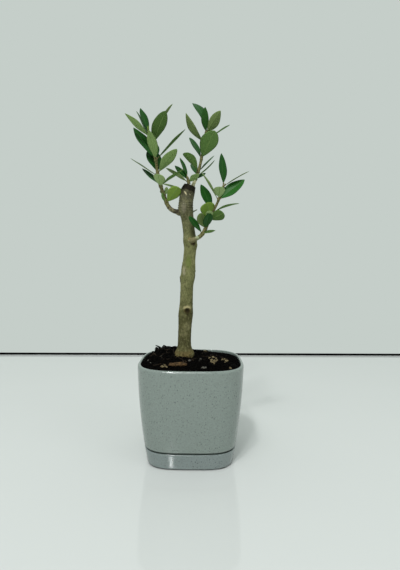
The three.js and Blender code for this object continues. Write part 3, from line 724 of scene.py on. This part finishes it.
# Boughs
# The woody start of each shoot, grown out of the trunk in a swollen collar, with thin grey, tan or green
# bark, and a dead twig broken off short on the right.
BOUGH_SIDES = 28
BOUGH_STEP = 0.4
BOUGH_START = 1.0
BOUGH_ROUGH = 0.22
STEM_LEAST_RINGS = 6
STEM_BUMPS_ROUND, STEM_BUMP_LENGTH = 2, 1.4
NODE_SWELL, NODE_REACH = 0.28, 0.9
COLLAR_AT, COLLAR_REACH = 6, 2.2
STUB_PATH = [(-4.5, 2, 209), (0.3, 1.4, 211.2), (3.9, 1, 213)]
STUB_RADII = 0.8, 0.65, 0.4
# Each bough: how far its collar swells, its bark's colours, and the middle, reach and colour of a patch at
# its joint, which on the left bough is painted shade
# The left bough's near-black joint patch is painted shade where the bough leaves the trunk
BOUGHS = {"left": (0.9, ("#484430", "#858060"), ((-13, 0.5, 213.3), 4.5, "#15100a")),
          "top": (0.2, ("#7a7350", "#b0a884"), ((0.2, 1, 235), 6, "#c8c7a0")),
          "right": (0.3, ("#748059", "#a8b28e"), ((0.5, -4.4, 185.2), 5, "#6a6140"))}
JOINT_RAGGED, JOINT_FADE = 4, 3
RIDGE_DEPTH = 0.25
# Leaves grow in pairs. A row gives the pair's distance along the stem, then for its two leaves the angles
# round the stem and away from it, length, width as a share of that, roll and tone, and bluntness and arch
# where they are unusual. A leaf of no length has dropped.
PAIR_VALUES = "at", "turn", "open", "long", "wide", "roll", "tone", "blunt", "bow"
SHOOTS = {
    "left": dict(seed=100, bough=17, radius=(2.5, 1.0), path=[
        (-5.6, 2, 209.5), (-19.2, 1, 213.2), (-25.4, -1, 225.5), (-30, -3, 241), (-32.4, -4, 256),
        (-38.4, -5, 278)], pairs=[
        (20.8, (25, 95), (65, 20), (18.6, 10), (0.6, 0.55), (55, -55), ("young", "mid"), (1, 0.5)),
        (27.3, (30, 260), (50, 40), (8.2, 8), (0.65, 0.45), (105, 0), ("pale", "young"), (1, 0.5)),
        (35.3, (85, 255), (55, 30), (15.7, 15), (0.66, 0.34), (30, 0), ("frost", "deep"), (1, 0.2)),
        (36.3, (20, 205), (75, 35), (26, 23), (0.3, 0.3), (5, 15), ("mid", "deep")),
        (38.3, (10, 0), (120, 0), (20, 0), (0.22, 0), (25, 0), ("frost", "mid")),
        (44.3, (185, 0), (45, 0), (28.5, 0), (0.2, 0), (5, 0), ("olive", "mid")),
        (46.5, (35, 255), (60, 25), (28.6, 25.3), (0.36, 0.56), (25, -15), ("bright", "deep"), (0.4, 0.7)),
        (57.5, (90, 270), (42, 40), (27.5, 26), (0.35, 0.34), (30, 0), ("bright", "deep")),
        (58, (0, 195), (55, 25), (36.5, 34.5), (0.2, 0.36), (5, 30), ("deep", "deep")),
        (70.8, (50, 195), (60, 10), (33, 32), (0.37, 0.32), (15, 0), ("deep", "mid"), (0.6, 0.2)),
        (77.3, (0, 145), (50, 40), (34.2, 27.5), (0.32, 0.3), (0, 0), ("olive", "bright")),
        (81.3, (255, 60), (15, 20), (25, 6), (0.32, 0.34), (-30, 0), ("deep", "young"))]),
    "top": dict(seed=200, bough=12, radius=(1.8, 1.0), path=[
        (-2.4, 2, 227), (0.2, 2, 234.5), (4.6, 1, 246), (7.6, 0, 259), (9.5, 0, 272),
        (11.6, 0, 281.5)], pairs=[
        (13.5, (325, 0), (40, 0), (11.5, 0), (0.42, 0), (-15, 0), ("deep", "mid")),
        (16.5, (15, 235), (30, 60), (20.4, 20), (0.2, 0.34), (-5, 20), ("deep", "deep"),
         (0.2, 0.2), (-0.06, 0.05)),
        (20, (130, 325), (70, 30), (24.4, 21.8), (0.36, 0.2), (-25, 5), ("mid", "deep"), (1, 0.2), (0.1, 0)),
        (31, (70, 220), (45, 45), (28.9, 27), (0.52, 0.32), (5, 10), ("mid", "deep"), (0.6, 0.7)),
        (46, (135, 345), (60, 45), (29.4, 28.8), (0.28, 0.32), (-5, 0), ("olive", "mid"),
         (0.2, 0.2), (-0.13, 0.01)),
        (53.5, (65, 130), (55, 25), (25, 21), (0.38, 0.36), (45, 170), ("olive", "mid")),
        (55, (210, 20), (40, 40), (33, 9), (0.34, 0.34), (28, 0), ("deep", "mid"),
         (0.8, 0.2), (0.13, 0.05))]),
    "right": dict(seed=300, bough=12.5, radius=(2.6, 0.8), path=[
        (-4.5, 0, 184), (0.6, -4.2, 186), (6.6, -5.2, 189.1), (10.7, -6.6, 194.5), (16.1, -9.5, 206.9),
        (21.5, -11.5, 218.1), (26, -12, 231)], pairs=[
        (17, (180, 40), (75, 45), (18.9, 13.7), (0.38, 0.3), (40, 10), ("deep", "mid"), (0.8, 0.2)),
        (22, (150, 105), (50, 40), (15.6, 18.5), (0.55, 0.5), (-95, 125), ("olive", "deep"), (0.8, 0.6)),
        (30, (140, 45), (35, 50), (16.2, 16.6), (0.8, 0.58), (-75, 45), ("young", "deep"), (1, 1)),
        (36.6, (195, 0), (50, 45), (26, 24), (0.36, 0.26), (45, 20), ("deep", "mid"),
         (0.4, 0.2), (0.03, 0.06)),
        (31, (100, 0), (65, 0), (16.8, 0), (0.36, 0), (-30, 0), ("frost", "mid"), (0.6, 0)),
        (48, (170, 350), (55, 30), (27.2, 28.4), (0.2, 0.42), (-10, -45), ("pale", "fresh")),
        (50, (100, 285), (70, 45), (18.3, 19.5), (0.52, 0.34), (-20, -10), ("frost", "deep"), (1, 0.2)),
        (60.5, (205, 355), (25, 40), (29.2, 25.3), (0.32, 0.2), (25, 0), ("deep", "olive"))]),
    "centre": dict(seed=400, bough=0, radius=(1.6, 0.8), path=[
        (-3.4, 0, 234.7), (-4.1, -0.5, 237.5), (-4.9, -1, 241)], pairs=[
        (1.5, (175, 35), (45, 70), (23, 13.6), (0.3, 0.46), (-25, 40), ("pale", "bright")),
        (3.5, (215, 0), (35, 0), (18.5, 0), (0.36, 0), (20, 0), ("deep", "mid")),
        (5.5, (245, 0), (20, 0), (20, 0), (0.32, 0), (-30, 0), ("deep", "mid"))]),
}
for shoot in SHOOTS.values():
    shoot["pairs"] = [dict(zip(PAIR_VALUES, row)) for row in shoot["pairs"]]
    shoot["curve"] = curve_through(shoot["path"])
    shoot["length"] = shoot["curve"][1][-1]


def stem_radius(shoot, distance):
    """Radius of a shoot's stem, swollen a little at each pair of leaves."""
    thick, thin = shoot["radius"]
    taper = thick + (thin - thick) * math.sqrt(max(0, distance) / shoot["length"])
    nodes = (math.exp(-((distance - pair["at"]) / NODE_REACH) ** 2) for pair in shoot["pairs"])
    return taper + sum(NODE_SWELL * node for node in nodes)


def stem(shoot, first, last, sides, roughness, collar=0.0):
    """A stretch of a shoot's stem, with bark that is rough by that many millimetres."""
    distances = np.linspace(first, last, max(STEM_LEAST_RINGS, int((last - first) / BOUGH_STEP)))
    spokes = [(STEM_BUMPS_ROUND * math.cos(a), STEM_BUMPS_ROUND * math.sin(a)) for a in angles_round(sides)]
    radii = []
    for distance in distances:
        swell = collar * math.exp(-((distance - COLLAR_AT) / COLLAR_REACH) ** 2)
        row = distance / STEM_BUMP_LENGTH + shoot["seed"]
        bumps = [noise.noise(Vector((*spoke, row))) for spoke in spokes]
        radii.append(stem_radius(shoot, distance) + swell + roughness * np.array(bumps))
    return tube([place_at(shoot["curve"], distance) for distance in distances], radii, sides)


def thin_bark(name, size, colours, joint_tint_and_shade=None):
    """Smooth young bark: streaked between two colours, with a dull skin and a patch laid over its joint,
    which is either paler bark or painted shade as given.
    """
    material, tree, shader, coords = new_material(name, {"Roughness": 0.7, "Specular IOR Level": 0.2})
    streak = add(tree, "ShaderNodeTexNoise", {
        "Vector": coords, "Scale": 1 / (size * MM), "Detail": 5.0}).outputs["Fac"]
    tone = laid_over(tree, *map(linear, colours), streak, low=0.36, high=0.62)
    if joint_tint_and_shade:
        place, reach, colour = joint_tint_and_shade
        away = add(tree, "ShaderNodeVectorMath", {
            0: coords, 1: [k * MM for k in place]}, operation="DISTANCE").outputs["Value"]
        tone = laid_over(tree, tone, linear(colour), away, (reach + JOINT_FADE) * MM, reach * MM, most=0.85,
                         ragged=(streak, JOINT_RAGGED * MM))
    finish_skin(tree, shader, tone, streak, RIDGE_DEPTH, strength=0.7)
    return material


for name, (collar, colours, joint_tint_and_shade) in BOUGHS.items():
    shoot = SHOOTS[name]
    bough_bark = thin_bark(f"two-year olive bark of the {name} bough", 1.6, colours, joint_tint_and_shade)
    limb = stem(shoot, BOUGH_START, shoot["bough"] + GAP, BOUGH_SIDES, BOUGH_ROUGH, collar)
    make_piece(f"bough_{name}_bark", *limb, [bough_bark], "young_bark", [f"bough_{name}"])
stub = tube(STUB_PATH, STUB_RADII, sides=10)
make_piece("broken_twig", *stub, [thin_bark("dead olive twig", 1.2, ("#4b5240", "#7d8670"))], "young_bark")

# Twigs and leaf stalks
# The green ends of the shoots, with a short stalk to each leaf and a bud in its armpit. They are one
# season old, so their skin is still smooth and olive green.
LEAF_BOW, LEAF_BOW_SPREAD = 0.01, 0.015
LEAF_BLUNT = 0.2
LEAF_CUP = 0.14
LEAF_STALK = 0.09
HEADING_STEP = 0.05
TWIG_SIDES = 14
TWIG_ROUGH = 0.07
STALK_RADIUS = 0.5
STALK_INTO_BLADE = 0.05
STALK_TAPER = 1.25, 0.85, 0.4
STALK_RINGS = 7
BUD_RADIUS, BUD_LENGTH = 0.45, 1.1
BUD_LEAN = 0.5
BUD_OUT, BUD_UP = 1.1, 1.0


def leaves_of(shoot):
    """Every leaf of a shoot: its root, the directions along, across and up from it, and its sizes."""
    for row, pair in enumerate(shoot["pairs"]):
        root, before, after = (
            place_at(shoot["curve"], pair["at"] + step) for step in (0, -HEADING_STEP, HEADING_STEP))
        heading = unit(after - before)
        for side in (0, 1):
            if pair["long"][side] == 0:
                continue
            seed = shoot["seed"] + 2 * row + side
            leaf = dict(blunt=LEAF_BLUNT, bow=LEAF_BOW + LEAF_BOW_SPREAD * wobble(seed + 0.5))
            leaf.update({name: pair[name][side] for name in pair if name != "at"})
            turn, opening, roll = (math.radians(leaf[name]) for name in ("turn", "open", "roll"))
            out = np.array([math.cos(turn), -math.sin(turn), 0])
            out = unit(out - heading * (out @ heading))
            along = math.cos(opening) * heading + math.sin(opening) * out
            upper = unit(heading - along * (heading @ along))
            aside = np.cross(upper, along)
            upper, aside = (math.cos(roll) * upper + math.sin(roll) * aside,
                            math.cos(roll) * aside - math.sin(roll) * upper)
            leaf.update(root=root, along=along, upper=upper, aside=aside, heading=heading, seed=seed)
            yield leaf


def leaf_middle(leaf, share):
    """The leaf's midrib at a share of its length, arched by its bow."""
    arch = 4 * leaf["bow"] * share * (1 - share)
    return leaf["root"] + leaf["long"] * (leaf["along"] * share + leaf["upper"] * arch)


def stalk(leaf):
    """The short stalk from the stem into the base of the blade."""
    end = LEAF_STALK + STALK_INTO_BLADE
    shares = np.linspace(0, end, STALK_RINGS)
    radii = STALK_RADIUS * np.interp(shares, [0, LEAF_STALK, end], STALK_TAPER)
    return tube([leaf_middle(leaf, share) for share in shares], radii, sides=8)


def bud(leaf):
    """The pointed bud between a leaf's stalk and the stem."""
    points, faces = ball(rounds=6)
    lift = unit(leaf["heading"] + BUD_LEAN * leaf["along"])
    side = unit(np.cross(lift, leaf["aside"]))
    spread = np.stack([leaf["aside"] * BUD_RADIUS, side * BUD_RADIUS, lift * BUD_LENGTH])
    return points @ spread + leaf["root"] + leaf["along"] * BUD_OUT + leaf["heading"] * BUD_UP, faces


twig_parts = []
for shoot in SHOOTS.values():
    twig_parts.append(stem(shoot, shoot["bough"], shoot["length"], TWIG_SIDES, TWIG_ROUGH))
    for leaf in leaves_of(shoot):
        twig_parts += [stalk(leaf), bud(leaf)]
green_bark = thin_bark("green olive shoot", 1.1, ("#4c4c2b", "#7b774c"))
make_piece("twigs_and_stalks", *joined(twig_parts), [green_bark], "young_bark")

# Leaves
# Leathery narrow leaves in opposite pairs, dark and half glossy above and covered with pale grey-green
# scales below, with a sunk midrib on top that stands out underneath.
LEAF_ROWS = 26
LEAF_COLUMNS = 14
LEAF_THICK = 0.42
LEAF_LEAST_HALF = 0.12
FULL_THICK_FROM = 0.8
COLUMN_CROWDING = 1.6
CUP_POWER = 1.5
RIB_WIDTH = 0.4
RIB_SINK = 0.1
RIB_STAND, RIB_FADE = 0.28, 0.7
FULL_RIB_FROM = 1.5
EDGE_WAVE, EDGE_WAVES = 0.05, 9
BLADE_OUTWARD = 0.9, 1.5
BLADE_FULLNESS = 0.86, 0.5
# The upper and lower green of each tone
LEAF_GREENS = {
    "deep": ("#1c4a17", "#526f37"), "fresh": ("#235a1a", "#567a36"), "mid": ("#2a5320", "#5f7f42"),
    "olive": ("#3a5526", "#6b7e4b"), "pale": ("#3d6029", "#7f955f"), "bright": ("#335a22", "#7f9a5c"),
    "frost": ("#456638", "#91a970"), "young": ("#557a26", "#75913e"),
}
RIB_GREENS = "#355c29", "#6f894b"
DIMPLE_SIZE, DIMPLE_DEPTH = 1.6, 0.006


def blade_shape(share, blunt):
    """Width along the blade as a share of its greatest; a blunt leaf is fullest near its tip."""
    outward, fullness = (a + (b - a) * blunt for a, b in (BLADE_OUTWARD, BLADE_FULLNESS))
    return max(0, math.sin(math.pi * share ** outward)) ** fullness


def leaf_blade(leaf):
    """A closed thin blade, as points and faces, with the skin of each face: upper, lower or midrib."""
    steps = np.linspace(-1, 1, LEAF_COLUMNS + 1)
    across = np.sign(steps) * np.abs(steps) ** COLUMN_CROWDING
    rings = []
    for share in np.linspace(LEAF_STALK, 1, LEAF_ROWS):
        blade = (share - LEAF_STALK) / (1 - LEAF_STALK)
        half = max(leaf["long"] * leaf["wide"] / 2 * blade_shape(blade, leaf["blunt"]), LEAF_LEAST_HALF)
        wave = EDGE_WAVE * half * np.sin(EDGE_WAVES * blade + leaf["seed"] + across) * across ** 2
        lift = LEAF_CUP * half * np.abs(across) ** CUP_POWER + wave
        thick = LEAF_THICK / 2 * np.sqrt(np.clip(1 - across ** 2, 0, 1)) * min(1, half / FULL_THICK_FROM)
        rib = np.exp(-(across * half / RIB_WIDTH) ** 2) * min(1, half / FULL_RIB_FROM)
        flat = leaf_middle(leaf, share) + np.outer(across * half, leaf["aside"])
        top = flat + np.outer(lift + thick - RIB_SINK * rib, leaf["upper"])
        under = flat + np.outer(lift - thick - RIB_STAND * rib * (1 - RIB_FADE * blade), leaf["upper"])
        rings.append(np.concatenate([top[::-1], under[1:-1]]))
    points, faces = loft(rings)
    column = np.arange(len(rings[0]))
    is_lower = column >= LEAF_COLUMNS
    is_rib = np.isin(column % LEAF_COLUMNS, (LEAF_COLUMNS // 2 - 1, LEAF_COLUMNS // 2))
    skin = 2 * list(LEAF_GREENS).index(leaf["tone"]) + is_lower
    skin = np.where(is_rib, 2 * len(LEAF_GREENS) + is_lower, skin)
    sides = np.tile(skin, LEAF_ROWS - 1)
    ends = np.full(len(faces) - len(sides), skin[-1])
    return points, faces, np.concatenate([sides, ends])


def leaf_skin(name, colour, roughness, gloss):
    """One side of a leaf: an even green, leathery by faint dimples."""
    material, tree, shader, coords = new_material(name, {
        "Base Color": linear(colour), "Roughness": roughness, "IOR": 1.42, "Specular IOR Level": gloss})
    dimples = add(tree, "ShaderNodeTexNoise", {
        "Vector": coords, "Scale": 1 / (DIMPLE_SIZE * MM), "Detail": 2.0})
    bump = add(tree, "ShaderNodeBump", {
        "Height": dimples.outputs["Fac"], "Distance": DIMPLE_DEPTH * MM, "Strength": 1.0})
    tree.links.new(bump.outputs["Normal"], shader.inputs["Normal"])
    return material


leaf_skins = []
for tone, (upper, lower) in {**LEAF_GREENS, "midrib of an": RIB_GREENS}.items():
    leaf_skins += [leaf_skin(f"{tone} olive leaf upper side", upper, roughness=0.4, gloss=0.16),
                   leaf_skin(f"{tone} olive leaf scaly underside", lower, roughness=0.7, gloss=0.1)]
blades = [leaf_blade(leaf) for shoot in SHOOTS.values() for leaf in leaves_of(shoot)]
blade_skins = np.concatenate([skin for _, _, skin in blades])
masses = [f"foliage_{name}" for name in SHOOTS]
make_piece("leaves", *joined([blade[:2] for blade in blades]), leaf_skins, "leaves", masses, blade_skins)

# Table, wall, light and camera
# A pale glossy table top that ends at a gap before a pale wall, with the shade in the gap painted as a black
# strip. A round, a broad and a strip lamp hang high at the front left, and a fill lamp that no gloss mirrors
# is at the right. The camera is a little above the pot.
TABLE_BACK = (-1000, 361), (1000, 430)
TABLE_REACH = 3000
TABLE_THICK = 20
GAP_HEIGHT, GAP_DEPTH = 3.6, 1
WALL_PLACE, WALL_THICK = 800, 1
TABLE_COLOUR, PAINTED_GAP_SHADE, WALL_COLOUR = "#cfd3d1", "#050505", "#c5cec9"
ROOM_COLOUR, ROOM_STRENGTH = "#d2d8d5", 0.72
LAMP_DISTANCE = 3
# Each lamp: its direction from the pot, its watts, and its width and height in metres
LAMPS = {"round": ((-0.20, -0.51, 0.84), 20, (0.24, 0.24)), "broad": ((-0.15, -0.50, 0.86), 25, (1.7, 0.5)),
         "strip": ((-0.18, -0.68, 0.71), 18, (0.21, 0.3)), "fill": ((0.65, -0.45, 0.35), 9, (1.5, 1.5))}
CAMERA_PLACE = Vector((7.06, -342.2, 158.8)) * MM
CAMERA_PITCH, CAMERA_ROLL = 0.0342, 0.0102
FOCAL_PIXELS = 390
IMAGE_HEIGHT = 570
SENSOR_WIDTH = 36


def stage_slab(name, front, back, low, high, material, inputs):
    """A flat slab of the surroundings between two lines that run from left to right."""
    outline = [*front, *back[::-1]]
    slab = mesh_object(name, *loft([[(x, y, z) for x, y in outline] for z in (low, high)]))
    slab.data.materials.append(new_material(material, inputs)[0])


table_front = [(x, -TABLE_REACH) for x, _ in TABLE_BACK]
gap_back = [(x, y + GAP_DEPTH) for x, y in TABLE_BACK]
wall_front, wall_back = ([(-TABLE_REACH, y), (TABLE_REACH, y)] for y in (WALL_PLACE, WALL_PLACE + WALL_THICK))
# A lacquered top that mirrors the lamps and the tray, a matt black strip of painted shade for the gap, and a
# wall that glows evenly
stage_slab("table_top", table_front, TABLE_BACK, -TABLE_THICK, 0, "glossy table top", {
    "Base Color": linear(TABLE_COLOUR), "Roughness": 0.05, "Specular IOR Level": 1.0})
stage_slab("table_gap", TABLE_BACK, gap_back, -TABLE_THICK, GAP_HEIGHT, "dark gap", {
    "Base Color": linear(PAINTED_GAP_SHADE), "Roughness": 0.9, "Specular IOR Level": 0.0})
stage_slab("wall", wall_front, wall_back, -TABLE_REACH, TABLE_REACH, "lit wall", {
    "Base Color": linear("#000000"), "Specular IOR Level": 0.0,
    "Emission Color": linear(WALL_COLOUR), "Emission Strength": 1.0})
world = bpy.data.worlds.new("pale room")
world.use_nodes = True
room = world.node_tree.nodes["Background"].inputs
room["Color"].default_value = linear(ROOM_COLOUR)
room["Strength"].default_value = ROOM_STRENGTH
bpy.context.scene.world = world
for name, (direction, power, size) in LAMPS.items():
    lamp_light = bpy.data.lights.new(f"{name} lamp", "AREA")
    lamp_light.shape = "ELLIPSE"
    lamp_light.energy = power
    lamp_light.size, lamp_light.size_y = size
    lamp = bpy.data.objects.new(f"{name}_lamp", lamp_light)
    lamp.location = Vector(direction).normalized() * LAMP_DISTANCE
    lamp.rotation_euler = Vector(direction).to_track_quat("Z", "Y").to_euler()
    lamp.visible_glossy = name != "fill"
    bpy.context.collection.objects.link(lamp)
camera_data = bpy.data.cameras.new("camera")
camera_data.sensor_width = SENSOR_WIDTH
camera_data.lens = FOCAL_PIXELS / IMAGE_HEIGHT * camera_data.sensor_width
camera = bpy.data.objects.new("camera", camera_data)
looking = Euler((math.pi / 2 - CAMERA_PITCH, 0, 0)).to_matrix() @ Matrix.Rotation(CAMERA_ROLL, 3, "Z")
camera.matrix_world = Matrix.Translation(CAMERA_PLACE) @ looking.to_4x4()
bpy.context.collection.objects.link(camera)
bpy.context.scene.camera = camera
bpy.context.scene.view_settings.view_transform = "Standard"
